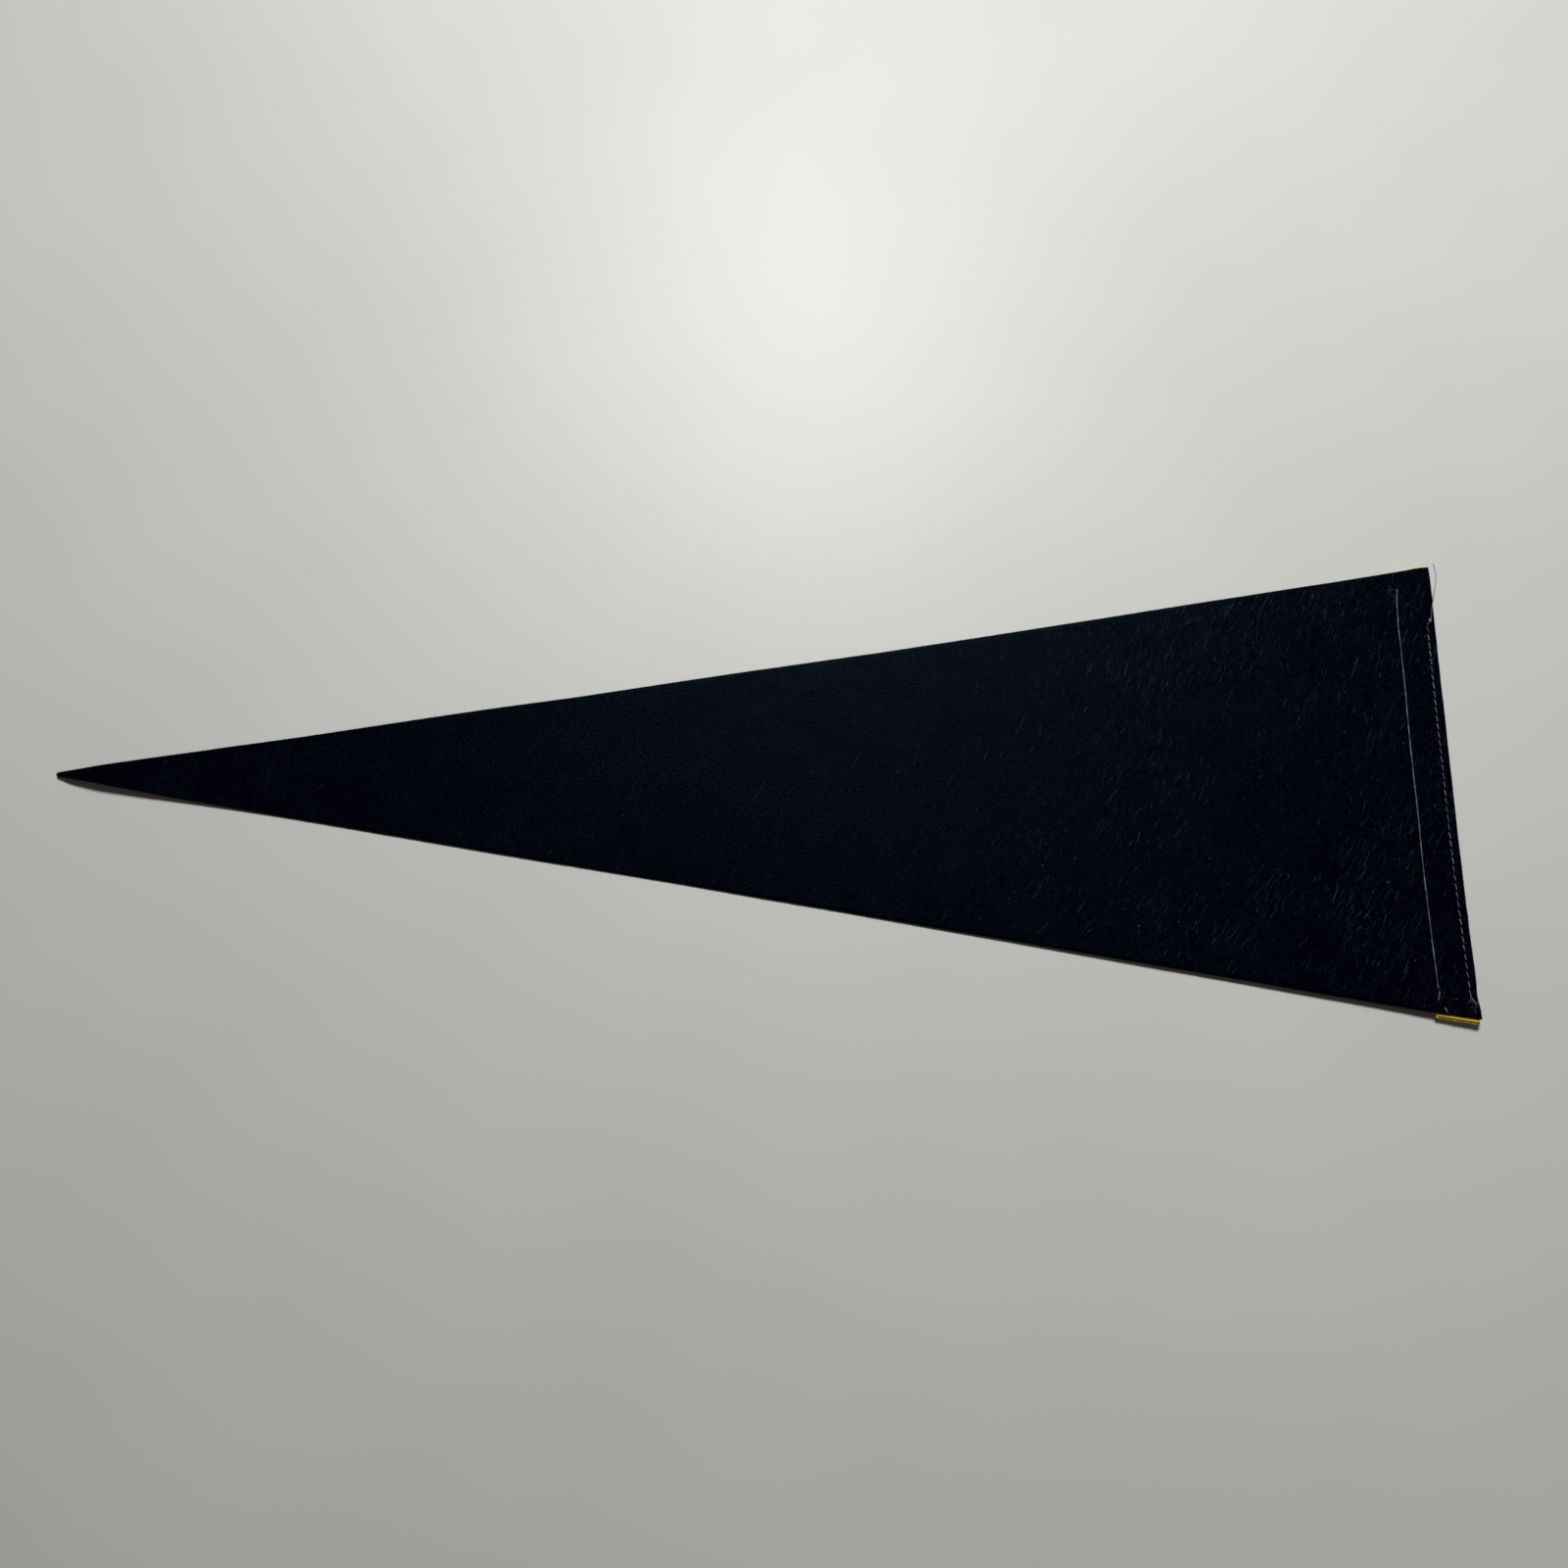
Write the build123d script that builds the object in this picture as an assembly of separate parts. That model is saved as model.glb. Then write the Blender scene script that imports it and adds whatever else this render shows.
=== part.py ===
from build123d import *
from math import radians, sqrt, tan
import os

# A felt pennant lying face down. A long dark felt triangle, the field, has a yellow felt strip
# sewn to its front face along the wide end by two rows of lockstitch. Each row is two threads
# that hook round each other inside the felt: a needle thread on the front, a bobbin thread on
# the back. Sizes are in millimetres.
# +Z is up, the tip points along -X and the header lies at +X. The origin is the middle of the
# outline, on the surface that the pennant lies on.

# Felt
FIELD_LENGTH = 658.0
HEADER_WIDTH = 217.5
FELT_THICKNESS = 1.2
TIP_BLUNTING = 5.6  # the straight sides would meet this far beyond the real tip
TIP_ROUNDING = 0.8  # radius of the two corners of the blunt tip

# How the field lies: distances from the tip, and heights of the underside
ARCH = ((-3.0, -1.1), (0.0, 0.0), (12.0, 3.2), (28.0, 4.2), (66.0, 2.1), (110.0, 0.4), (150.0, 0.0))
RISE_START = 430.0  # from here the field climbs gently onto the strip

# Header strip
STRIP_WIDTH = 19.0
STRIP_SET_BACK = 0.6  # from the field's wide edge to the strip's outer edge
STRIP_PROUD_NEAR = (1.8, 2.1)  # the strip's end past the field's side at -Y: inner, outer corner
STRIP_PROUD_FAR = (0.1, 0.9)  # the same at +Y

# Lockstitch
THREAD_DIAMETER = 0.35
STITCH_LENGTH = 4.03
INNER_ROW_INSET = 17.4  # from the field's wide edge
INNER_ROW_START = 95.8  # Y of the first needle hole
INNER_ROW_STITCHES = 47
OUTER_ROW_INSET = 3.8
OUTER_ROW_START = 78.8
OUTER_ROW_STITCHES = 44
LEG_OFFSET = 0.27  # each leg of a stitch from the hole's centre, along X and along Y
HOOK_GAP = 0.19  # each thread's loop past the middle of the two felts
HOLE_CLEARANCE = 0.02
STITCH_BEND = 0.33  # radius of a thread's bends
BACK_VALLEY_DEPTH = 0.2  # the stitches press this far into the back
FRONT_VALLEY_DEPTH = 0.37  # and bury themselves in the front
VALLEY_SPARE = 0.05
CUT_END = 1.5  # a thread's end past its last needle hole
LIE_GAP = 0.008  # keeps a thread just clear of what it lies on

# Loose ends
KNOT_RADIUS = 0.5
KNOT_PLACE = (327.3, 81.7)

# Routes of the thread ends, past the last hole of each row and past the knot
INNER_TAIL = (
    (311.3, -96.4, 2.59),
    (310.8, -98.9, 2.60),
    (311.7, -101.6, 2.60),
    (312.9, -104.2, 2.63),
    (313.5, -107.4, 2.50),
)
OUTER_END = ((325.0, -100.4, 2.60), (326.3, -103.4, 2.62))
OUTER_TAIL = (
    (327.5, 82.2, 2.80),
    (328.4, 85.8, 2.85),
    (329.9, 90.9, 2.40),
    (331.8, 95.2, 1.00),
    (333.6, 99.6, 0.20),
    (334.4, 104.6, 0.20),
    (333.9, 109.4, 0.20),
    (332.5, 112.4, 0.20),
)

# Worked out from the sizes above
HALF_LENGTH = FIELD_LENGTH / 2
HALF_WIDTH = HEADER_WIDTH / 2
SIDE_SLOPE = HALF_WIDTH / (FIELD_LENGTH + TIP_BLUNTING)
FIELD_BACK = 2 * FELT_THICKNESS  # height of the field's upper face over the strip
THREAD_RADIUS = THREAD_DIAMETER / 2
STRIP_OUTER_X = HALF_LENGTH - STRIP_SET_BACK
STRIP_INNER_X = STRIP_OUTER_X - STRIP_WIDTH
INNER_ROW_X = HALF_LENGTH - INNER_ROW_INSET
OUTER_ROW_X = HALF_LENGTH - OUTER_ROW_INSET
HOLE_RADIUS = LEG_OFFSET * sqrt(2) + THREAD_RADIUS + HOLE_CLEARANCE
VALLEY_WIDTH = 2 * (LEG_OFFSET + THREAD_RADIUS + VALLEY_SPARE)
BACK_RUN_Z = FIELD_BACK - BACK_VALLEY_DEPTH + THREAD_RADIUS + LIE_GAP
FRONT_RUN_Z = THREAD_RADIUS + LIE_GAP
ON_FELT_Z = FIELD_BACK + THREAD_RADIUS + LIE_GAP


def half_width_at(x):
    """The field's half width."""
    return SIDE_SLOPE * (x + HALF_LENGTH + TIP_BLUNTING)


def hole_places(first_y, stitches):
    """Y of each needle hole of a row, sewn from +Y to -Y."""
    return [first_y - STITCH_LENGTH * i for i in range(stitches + 1)]


# ---------------------------------------------------------------- field


def field_outline():
    """The long triangle, with a narrow blunt tip."""
    tip = half_width_at(-HALF_LENGTH)
    corners = (
        (-HALF_LENGTH, -tip),
        (HALF_LENGTH, -HALF_WIDTH),
        (HALF_LENGTH, HALF_WIDTH),
        (-HALF_LENGTH, tip),
    )
    outline = make_face(Polyline(*corners, close=True))
    return fillet(outline.vertices().sort_by(Axis.X)[:2], TIP_ROUNDING)


def lie_profile():
    """Side view of the felt as it lies: an arch at the tip, a flat middle, a climb onto the strip."""
    arch_points = [(along - HALF_LENGTH, height) for along, height in ARCH]
    arch = Spline(*arch_points, tangents=((1, 0.36), (1, 0)))
    flat = Line(arch @ 1, (RISE_START - HALF_LENGTH, 0))
    climb = Spline(flat @ 1, (STRIP_INNER_X, FELT_THICKNESS), tangents=((1, 0), (1, 0)))
    on_strip = Line(climb @ 1, (HALF_LENGTH + 1, FELT_THICKNESS))
    underside = arch + flat + climb + on_strip
    back = Pos(0, FELT_THICKNESS) * underside
    tip_end = Line(underside @ 0, back @ 0)
    header_end = Line(underside @ 1, back @ 1)
    return Plane.XZ * make_face(underside + back + tip_end + header_end)


def seam_cuts(row_x, holes, face_z, valley_depth):
    """Needle holes of one row, and the valley that its stitches press into one face."""
    hole = Cylinder(HOLE_RADIUS, 3 * FELT_THICKNESS)
    cuts = [Pos(row_x, y, FELT_THICKNESS) * hole for y in holes]
    past = LEG_OFFSET + CUT_END + VALLEY_SPARE
    length = holes[0] - holes[-1] + 2 * past
    middle = (holes[0] + holes[-1]) / 2
    valley = Box(VALLEY_WIDTH, length, 2 * valley_depth)
    return cuts + [Pos(row_x, middle, face_z) * valley]


def make_field(rows):
    slab = extrude(field_outline(), amount=3 * FELT_THICKNESS + max(height for _, height in ARCH))
    slab = Pos(0, 0, -FELT_THICKNESS) * slab
    felt = slab & extrude(lie_profile(), amount=HEADER_WIDTH, both=True)
    for row_x, holes in rows:
        felt -= seam_cuts(row_x, holes, FIELD_BACK, BACK_VALLEY_DEPTH)
    return felt


# ---------------------------------------------------------------- header strip


def make_header_strip(rows):
    """A narrow felt strip, its ends cut nearly along the field's sides and proud of them."""
    inner = half_width_at(STRIP_INNER_X)
    outer = half_width_at(STRIP_OUTER_X)
    near_inner, near_outer = STRIP_PROUD_NEAR
    far_inner, far_outer = STRIP_PROUD_FAR
    corners = (
        (STRIP_INNER_X, -inner - near_inner),
        (STRIP_OUTER_X, -outer - near_outer),
        (STRIP_OUTER_X, outer + far_outer),
        (STRIP_INNER_X, inner + far_inner),
    )
    strip = extrude(make_face(Polyline(*corners, close=True)), amount=FELT_THICKNESS)
    for row_x, holes in rows:
        strip -= seam_cuts(row_x, holes, 0, FRONT_VALLEY_DEPTH)
    return strip


# ---------------------------------------------------------------- threads


def bend_radii(points):
    """For each bend of a route, the largest arc that its two runs allow."""
    vectors = [Vector(*p) for p in points]
    runs = [b - a for a, b in zip(vectors, vectors[1:])]
    radii = []
    for before, after in zip(runs, runs[1:]):
        half_turn = radians(before.get_angle(after) / 2)
        radii.append(0.45 * min(before.length, after.length) / tan(half_turn))
    return radii


def tube(points, radii):
    """A round thread along straight runs joined by arcs."""
    path = FilletPolyline(*points, radius=radii)
    section = Plane(origin=path @ 0, z_dir=path % 0) * Circle(THREAD_RADIUS)
    thread = sweep(section, path=path)
    share = thread.volume / (section.area * path.length)
    print(f"  thread {path.length:.1f} mm, volume / (section x length) {share:.4f}")
    return thread


def stitch_route(row_x, holes, side, run_z, lock_z):
    """One thread of a row: along the face, down a hole, round the other thread, and up again."""
    points = []
    for y in holes:
        entry = (row_x + side * LEG_OFFSET, y + LEG_OFFSET)
        leave = (row_x - side * LEG_OFFSET, y - LEG_OFFSET)
        points += [(*entry, run_z), (*entry, lock_z), (*leave, lock_z), (*leave, run_z)]
    return points


def stitched_thread(start, route, end):
    """A thread with loose points before and after its stitches."""
    points = [*start, *route, *end]
    radii = bend_radii(points)
    first = len(start) - 1
    radii[first : first + len(route)] = [STITCH_BEND] * len(route)
    return tube(points, radii)


def cut_end(corner, direction):
    """Where a thread is cut off, in line with its row."""
    x, y, z = corner
    return (x, y + direction * CUT_END, z)


def needle_thread(row_x, holes):
    """The thread on the front face, hooked over the bobbin thread."""
    route = stitch_route(row_x, holes, -1, FRONT_RUN_Z, FELT_THICKNESS + HOOK_GAP)
    return stitched_thread([cut_end(route[0], 1)], route, [cut_end(route[-1], -1)])


def back_route(row_x, holes):
    return stitch_route(row_x, holes, 1, BACK_RUN_Z, FELT_THICKNESS - HOOK_GAP)


def lift_onto_felt(point):
    """The same point with the thread lying on top of the felt, out of the stitches' valley."""
    return (*point[:2], ON_FELT_Z)


def inner_bobbin_thread(holes):
    """The thread on the back face, ending in a short curl over the field's side."""
    route = back_route(INNER_ROW_X, holes)
    route[-1] = lift_onto_felt(route[-1])
    return stitched_thread([cut_end(route[0], 1)], route, INNER_TAIL)


def outer_bobbin_thread(holes):
    """The thread on the back face, from its knot to a loose end near the corner."""
    route = back_route(OUTER_ROW_X, holes)
    route[0] = lift_onto_felt(route[0])
    route[-1] = lift_onto_felt(route[-1])
    knot_x, knot_y = KNOT_PLACE
    at_knot = (knot_x - 0.3, knot_y - 0.4, ON_FELT_Z)
    return stitched_thread([at_knot], route, OUTER_END)


# ---------------------------------------------------------------- assembly

inner_holes = hole_places(INNER_ROW_START, INNER_ROW_STITCHES)
outer_holes = hole_places(OUTER_ROW_START, OUTER_ROW_STITCHES)
seam_rows = ((INNER_ROW_X, inner_holes), (OUTER_ROW_X, outer_holes))

nodes = {
    "field": make_field(seam_rows),
    "header_strip": make_header_strip(seam_rows),
    "inner_needle_thread": needle_thread(INNER_ROW_X, inner_holes),
    "inner_bobbin_thread": inner_bobbin_thread(inner_holes),
    "outer_needle_thread": needle_thread(OUTER_ROW_X, outer_holes),
    "outer_bobbin_thread": outer_bobbin_thread(outer_holes),
    "outer_thread_knot": Pos(*KNOT_PLACE, FIELD_BACK + KNOT_RADIUS) * Sphere(KNOT_RADIUS),
    "outer_thread_tail": tube(OUTER_TAIL, bend_radii(OUTER_TAIL)),
}

os.makedirs("parts", exist_ok=True)
for name, shape in nodes.items():
    export_step(shape, f"parts/{name}.step")
    print(f"{name}: {len(shape.solids())} solid, {shape.volume:.1f} mm3")
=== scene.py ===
import math

import bpy
import numpy as np
from mathutils import Matrix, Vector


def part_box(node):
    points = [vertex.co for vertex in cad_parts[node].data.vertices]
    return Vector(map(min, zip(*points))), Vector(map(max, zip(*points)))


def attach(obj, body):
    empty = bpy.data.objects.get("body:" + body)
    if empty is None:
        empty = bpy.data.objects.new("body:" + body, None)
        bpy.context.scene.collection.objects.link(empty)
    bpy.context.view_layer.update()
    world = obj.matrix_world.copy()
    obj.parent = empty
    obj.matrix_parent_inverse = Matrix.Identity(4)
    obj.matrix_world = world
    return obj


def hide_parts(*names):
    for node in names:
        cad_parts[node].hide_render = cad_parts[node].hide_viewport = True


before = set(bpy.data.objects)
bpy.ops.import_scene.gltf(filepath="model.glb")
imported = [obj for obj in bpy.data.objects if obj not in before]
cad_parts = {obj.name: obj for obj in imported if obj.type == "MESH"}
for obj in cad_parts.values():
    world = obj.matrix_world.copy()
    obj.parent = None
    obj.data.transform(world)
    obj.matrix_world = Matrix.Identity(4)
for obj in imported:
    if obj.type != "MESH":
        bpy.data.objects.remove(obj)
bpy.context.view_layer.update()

# A felt pennant lying face down on a pale board. Everything is in metres, in the CAD's frame:
# the tip points along -X, the header lies at +X, and the back face is up.

MM = 0.001

# ------------------------------------------------------------------ sizes from the frame

field_low, field_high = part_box("field")
strip_low, strip_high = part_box("header_strip")
inner_low, inner_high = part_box("inner_needle_thread")
outer_low, outer_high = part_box("outer_needle_thread")

TIP_X = field_low.x
HEADER_X = field_high.x
HALF_WIDTH = field_high.y
FELT = strip_high.z - strip_low.z
STRIP_INNER_X = strip_low.x
STRIP_OUTER_X = strip_high.x
INNER_ROW_X = (inner_low.x + inner_high.x) / 2
OUTER_ROW_X = (outer_low.x + outer_high.x) / 2

# ------------------------------------------------------------------ sizes as in part.py

TIP_BLUNTING = 5.6 * MM
TIP_ROUNDING = 0.8 * MM
SIDE_SLOPE = HALF_WIDTH / (HEADER_X - TIP_X + TIP_BLUNTING)
RISE_START = 430 * MM
THREAD_RADIUS = 0.175 * MM
STITCH_LENGTH = 4.03 * MM
LEG_OFFSET = 0.27 * MM
CUT_END = 1.5 * MM
HOOK_GAP = 0.19 * MM
BACK_VALLEY_DEPTH = 0.2 * MM
FRONT_VALLEY_DEPTH = 0.37 * MM

# ------------------------------------------------------------------ how the real felt lies

# These shapes are the visual model's own. In part.py the arch is a millimetre higher, and the
# header's corners lie flat on the board.
# Smooth lines through points of (mm from the tip, mm): the height of the underside off the board
ARCH = ((0, 0.1), (2.7, 0.9), (6.4, 2.0), (12, 2.7), (20, 3.2), (34, 2.8), (65, 1.1), (110, 0),
        (150, 0), (170, 0))
NEAR_LIFT = ((380, 0), (435, 0.4), (500, 0.75), (570, 0.75), (615, 0.95), (632, 1.5), (645, 2.3),
             (658, 2.6))
FAR_LIFT = ((540, 0), (600, 0.3), (658, 1.5))
# How far each cut side strays outwards from a straight line
NEAR_WANDER = ((0, -0.4), (10, -0.2), (30, 0.1), (65, 0.4), (110, 0.3), (200, 0.25), (295, -0.15),
               (433, 0), (570, 0.05), (614, 0.15), (636, 0), (648, -0.3), (658, -0.45))
FAR_WANDER = ((0, 0.3), (8, -0.15), (25, -0.05), (65, 0.35), (110, 0.2), (205, 0.1), (250, -0.5),
              (295, -0.35), (400, -0.8), (480, -0.5), (530, -0.1), (600, 0.05), (635, 0.1),
              (645, 0.2), (653, 0.42), (658, 0.05))
LIFT_REACH = 80 * MM  # from a lifted side inwards
# Smooth lines through points of (Y in mm, mm): how far each strays towards +X from a straight line
HEADER_LINE = ((-109, -0.05), (-106, -0.07), (-103.5, -0.12), (-99.5, -0.6), (-91, -0.2), (-73, 0),
               (-24, 0.2), (0, 0.24), (25, 0.46), (60, 0.4), (88, 0.42), (102, 0.28), (109, -0.1))
INNER_ROW_LINE = ((-96, -0.5), (-66, -0.58), (-42, -0.62), (-18, -0.4), (7, -0.42), (31, -0.3),
                  (43, -0.05), (70, -0.1), (82, -0.15), (88, 0.05), (92, 0.35), (97, 0.9))
OUTER_ROW_LINE = ((-98, -0.2), (-73, 0), (-48, -0.08), (-24, -0.14), (-8, -0.1), (7, 0.12),
                  (30, 0.08), (55, 0.28), (70, 0.3), (80, 0.2))
# The strip's ends past the field's sides: at the inner and at the outer corner
STRIP_PROUD_NEAR = (1.9 * MM, 2.2 * MM)
STRIP_PROUD_FAR = (-0.1 * MM, 0.65 * MM)
STRIP_FAR_TRIM = 0.9 * MM  # the strip's outer edge, drawn back at its far end
STRIP_TRIM_REACH = 14 * MM
FIELD_EDGE_ROUND = 0.4 * MM
STRIP_EDGE_ROUND = 0.6 * MM
EDGE_SINK = 0.06 * MM  # how far the back face drops at its rim
EDGE_WOBBLE = 0.1 * MM  # roughness of a cut edge: slow, and then fine
EDGE_GRIT = 0.05 * MM
# Rings down a cut edge: height as a share of the thickness, inset as a share of the rounding
EDGE_RINGS = ((0.82, 0.35), (0.45, 0.0), (0.12, 0.2))
# Lumps of the back face: height, size of a lump and seed
LUMPS = ((0.05 * MM, 7 * MM, 21), (0.06 * MM, 17 * MM, 22))
# How wide a seam presses the felt down
VALLEY_REACH = 0.75 * MM
VALLEY_END_REACH = 1.2 * MM
HOLE_REACH_X = 0.5 * MM
HOLE_REACH_Y = 0.55 * MM


# ------------------------------------------------------------------ plain mathematics


def smoothstep(t):
    t = np.clip(t, 0, 1)
    return t * t * (3 - 2 * t)


def smooth_through(x, places, heights):
    """A smooth curve through a few points: cubic pieces, slopes from the neighbours."""
    p, h = np.array(places, float), np.array(heights, float)
    slope = np.gradient(h, p)
    k = np.clip(np.searchsorted(p, x) - 1, 0, len(p) - 2)
    width = p[k + 1] - p[k]
    t = np.clip((x - p[k]) / width, 0, 1)
    t2, t3 = t * t, t * t * t
    start = (2 * t3 - 3 * t2 + 1) * h[k] + (t3 - 2 * t2 + t) * width * slope[k]
    end = (3 * t2 - 2 * t3) * h[k + 1] + (t3 - t2) * width * slope[k + 1]
    return start + end


def patchy(x, y, cell, seed):
    """Smooth random values from -1 to 1, one lattice point to each cell."""
    size = 97
    lattice = np.random.default_rng(seed).uniform(-1, 1, (size, size))
    u, v = np.asarray(x) / cell, np.asarray(y) / cell
    i, j = np.floor(u).astype(int), np.floor(v).astype(int)
    a, b = smoothstep(u - i), smoothstep(v - j)
    i0, i1, j0, j1 = i % size, (i + 1) % size, j % size, (j + 1) % size
    low = lattice[i0, j0] * (1 - a) + lattice[i1, j0] * a
    high = lattice[i0, j1] * (1 - a) + lattice[i1, j1] * a
    return low * (1 - b) + high * b


def unit(v):
    return v / np.maximum(np.linalg.norm(v, axis=-1, keepdims=True), 1e-12)


# ------------------------------------------------------------------ the pennant's shape


def along_line(points, x):
    """The height of a smooth line through points of (mm from the tip, mm), in metres."""
    places, heights = zip(*points)
    along = (np.asarray(x) - TIP_X) / MM
    return smooth_through(np.clip(along, places[0], places[-1]), places, heights) * MM


def stray(points, y):
    """How far a smooth line through points of (Y in mm, mm) strays towards +X, in metres."""
    places, strays = zip(*points)
    return smooth_through(np.clip(np.asarray(y) / MM, places[0], places[-1]), places, strays) * MM


def half_width(x, side):
    """From the centre line to one side, near (-1) or far (+1), with its tip rounded off."""
    along = np.maximum(np.asarray(x) - TIP_X, 0)
    wander = np.where(side < 0, along_line(NEAR_WANDER, x), along_line(FAR_WANDER, x))
    short = 1 - np.clip(along / TIP_ROUNDING, 0, 1)
    rounding = TIP_ROUNDING * (1 - np.sqrt(1 - short**2))
    return SIDE_SLOPE * (along + TIP_BLUNTING) + wander - 0.8 * rounding


def inside(x, y, margin):
    """Y brought at least a margin inside the field's sides."""
    return np.clip(y, margin - half_width(x, -1), half_width(x, 1) - margin)


def board_gap(x, y):
    """How far the underside of the whole pennant stands off the board."""
    from_near = np.clip((y + half_width(x, -1)) / LIFT_REACH, 0, 1)
    from_far = np.clip((half_width(x, 1) - y) / LIFT_REACH, 0, 1)
    near = along_line(NEAR_LIFT, x) * (1 - from_near) ** 2
    far = along_line(FAR_LIFT, x) * (1 - from_far) ** 2
    return np.maximum(near, 0) + np.maximum(far, 0)


def field_under(x, y):
    """The front face of the field, which looks down."""
    along = x - TIP_X
    climb = FELT * smoothstep((along - RISE_START) / (STRIP_INNER_X - TIP_X - RISE_START))
    return board_gap(x, y) + np.maximum(along_line(ARCH, x), 0) + climb


def field_top(x, y):
    """The back face of the field, without its seams."""
    fine, coarse = [height * patchy(x, y, size, seed) for height, size, seed in LUMPS]
    return field_under(x, y) + FELT + (fine + coarse)


def seam_press(x, y, row_x, holes, depth, hole_depth):
    """How far one row of stitches presses the felt down."""
    across = (x - row_x) / VALLEY_REACH
    first, last = holes.max(), holes.min()
    past_end = np.maximum(np.maximum(y - first, last - y), 0) / VALLEY_END_REACH
    valley = depth * np.exp(-(across**2) - past_end**2)
    nearest = np.abs(y[..., None] - holes).min(axis=-1) / HOLE_REACH_Y
    hole = hole_depth * np.exp(-((x - row_x) / HOLE_REACH_X) ** 2 - nearest**2)
    return valley + hole


# ------------------------------------------------------------------ mesh builders


def new_piece(name, vertices, faces, material):
    """A smooth-shaded mesh that rides on the pennant."""
    mesh = bpy.data.meshes.new(name)
    mesh.from_pydata(np.asarray(vertices).tolist(), [], faces)
    mesh.shade_smooth()
    mesh.materials.append(material)
    piece = bpy.data.objects.new(name, mesh)
    bpy.context.scene.collection.objects.link(piece)
    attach(piece, "root")
    return piece


def strips(columns, numbers):
    """Faces between columns of points. A finer column divides each step of a coarser one."""
    faces = []
    for left, right in zip(numbers, numbers[1:]):
        coarse = min(len(left), len(right)) - 1
        a, b = (len(left) - 1) // coarse, (len(right) - 1) // coarse
        for j in range(coarse):
            left_side = left[j * a : (j + 1) * a + 1]
            right_side = right[j * b : (j + 1) * b + 1]
            faces.append([*right_side, *reversed(left_side)])
    return faces


def slab(columns, top, under, rounding, seed):
    """A felt piece from columns of plan points: both faces, and a rounded, rough cut edge."""
    rng = np.random.default_rng(seed)
    plan = np.concatenate(columns)
    ends = np.cumsum([len(c) for c in columns])
    numbers = [np.arange(end - len(c), end) for c, end in zip(columns, ends)]
    rim = [c[0] for c in numbers] + list(numbers[-1][1:])
    rim += [c[-1] for c in reversed(numbers[:-1])] + list(numbers[0][-2:0:-1])
    rim = np.array(rim)

    edge = plan[rim]
    ahead = unit(np.roll(edge, -1, axis=0) - edge)
    behind = unit(edge - np.roll(edge, 1, axis=0))
    along = unit(ahead + behind)
    outward = np.stack([along[:, 1], -along[:, 0]], axis=1)
    room = np.minimum(rounding, 0.3 * half_width(edge[:, 0], 1))
    face_plan = plan.copy()
    face_plan[rim] -= outward * room[:, None]

    top_z, under_z = top(plan[:, 0], plan[:, 1]), under(plan[:, 0], plan[:, 1])
    top_z[rim] -= EDGE_SINK
    layers = [np.column_stack([face_plan, top_z]), np.column_stack([face_plan, under_z])]
    count = len(plan)
    wobble = EDGE_WOBBLE * patchy(np.arange(len(rim)) * 1.0, seed * 1.0, 9, seed)
    rings = [rim]
    for level, inset in EDGE_RINGS:
        rough = wobble + EDGE_GRIT * rng.uniform(-1, 1, len(rim)) - inset * room
        ring_plan = edge + outward * rough[:, None]
        height = under_z[rim] + level * (top_z[rim] - under_z[rim])
        layers.append(np.column_stack([ring_plan, height]))
        rings.append(2 * count + len(rim) * (len(rings) - 1) + np.arange(len(rim)))
    rings.append(rim + count)

    faces = [list(map(int, f)) for f in strips(columns, numbers)]
    faces += [[v + count for v in reversed(f)] for f in faces]
    for upper, lower in zip(rings, rings[1:]):
        for k in range(len(rim)):
            after = (k + 1) % len(rim)
            faces.append([int(upper[k]), int(lower[k]), int(lower[after]), int(upper[after])])
    return np.concatenate(layers), faces


def chaikin(points, rounds):
    """Cuts the corners of a route, keeping its two ends."""
    for _ in range(rounds):
        near = 0.75 * points[:-1] + 0.25 * points[1:]
        far = 0.25 * points[:-1] + 0.75 * points[1:]
        cut = np.stack([near, far], axis=1).reshape(-1, 3)
        points = np.concatenate([points[:1], cut[1:-1], points[-1:]])
    return points


def even_steps(points, step):
    """The same line with its points a fixed step apart."""
    gone = np.concatenate([[0], np.cumsum(np.linalg.norm(np.diff(points, axis=0), axis=1))])
    wanted = np.linspace(0, gone[-1], max(4, int(gone[-1] / step)))
    return np.column_stack([np.interp(wanted, gone, points[:, k]) for k in range(3)])


def frames_along(path):
    """Two directions square to a path at each point, turning as little as they can."""
    tangent = unit(np.gradient(path, axis=0))
    side = unit(np.cross(tangent[0], [0.3, 0.2, 1.0]))
    sides = [side]
    for t in tangent[1:]:
        side = unit(side - t * np.dot(side, t))
        sides.append(side)
    sides = np.array(sides)
    return sides, np.cross(tangent, sides)


def ring_tube(path, radius, sides, start):
    """Vertices and faces of one closed tube, numbered from start. radius is one for each point."""
    side, up = frames_along(path)
    angle = np.arange(sides) * 2 * math.pi / sides
    spokes = side[:, None] * np.cos(angle)[:, None] + up[:, None] * np.sin(angle)[:, None]
    vertices = (path[:, None] + spokes * np.reshape(radius, (-1, 1, 1))).reshape(-1, 3)
    faces = []
    for i in range(len(path) - 1):
        for k in range(sides):
            a, b = i * sides + k, i * sides + (k + 1) % sides
            faces.append([start + a, start + b, start + b + sides, start + a + sides])
    faces.append([start + k for k in reversed(range(sides))])
    last = start + (len(path) - 1) * sides
    faces.append([last + k for k in range(sides)])
    return vertices, faces


THREAD_PLIES = 3
PLY_SHARE = 0.464  # a ply's radius, for three that touch inside the thread's own circle
PLY_OVERLAP = 1.06  # plies press into each other a little
PLY_SIDES = 5
TWIST_PITCH = 1.3 * MM
THREAD_STEP = 0.17 * MM


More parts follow.
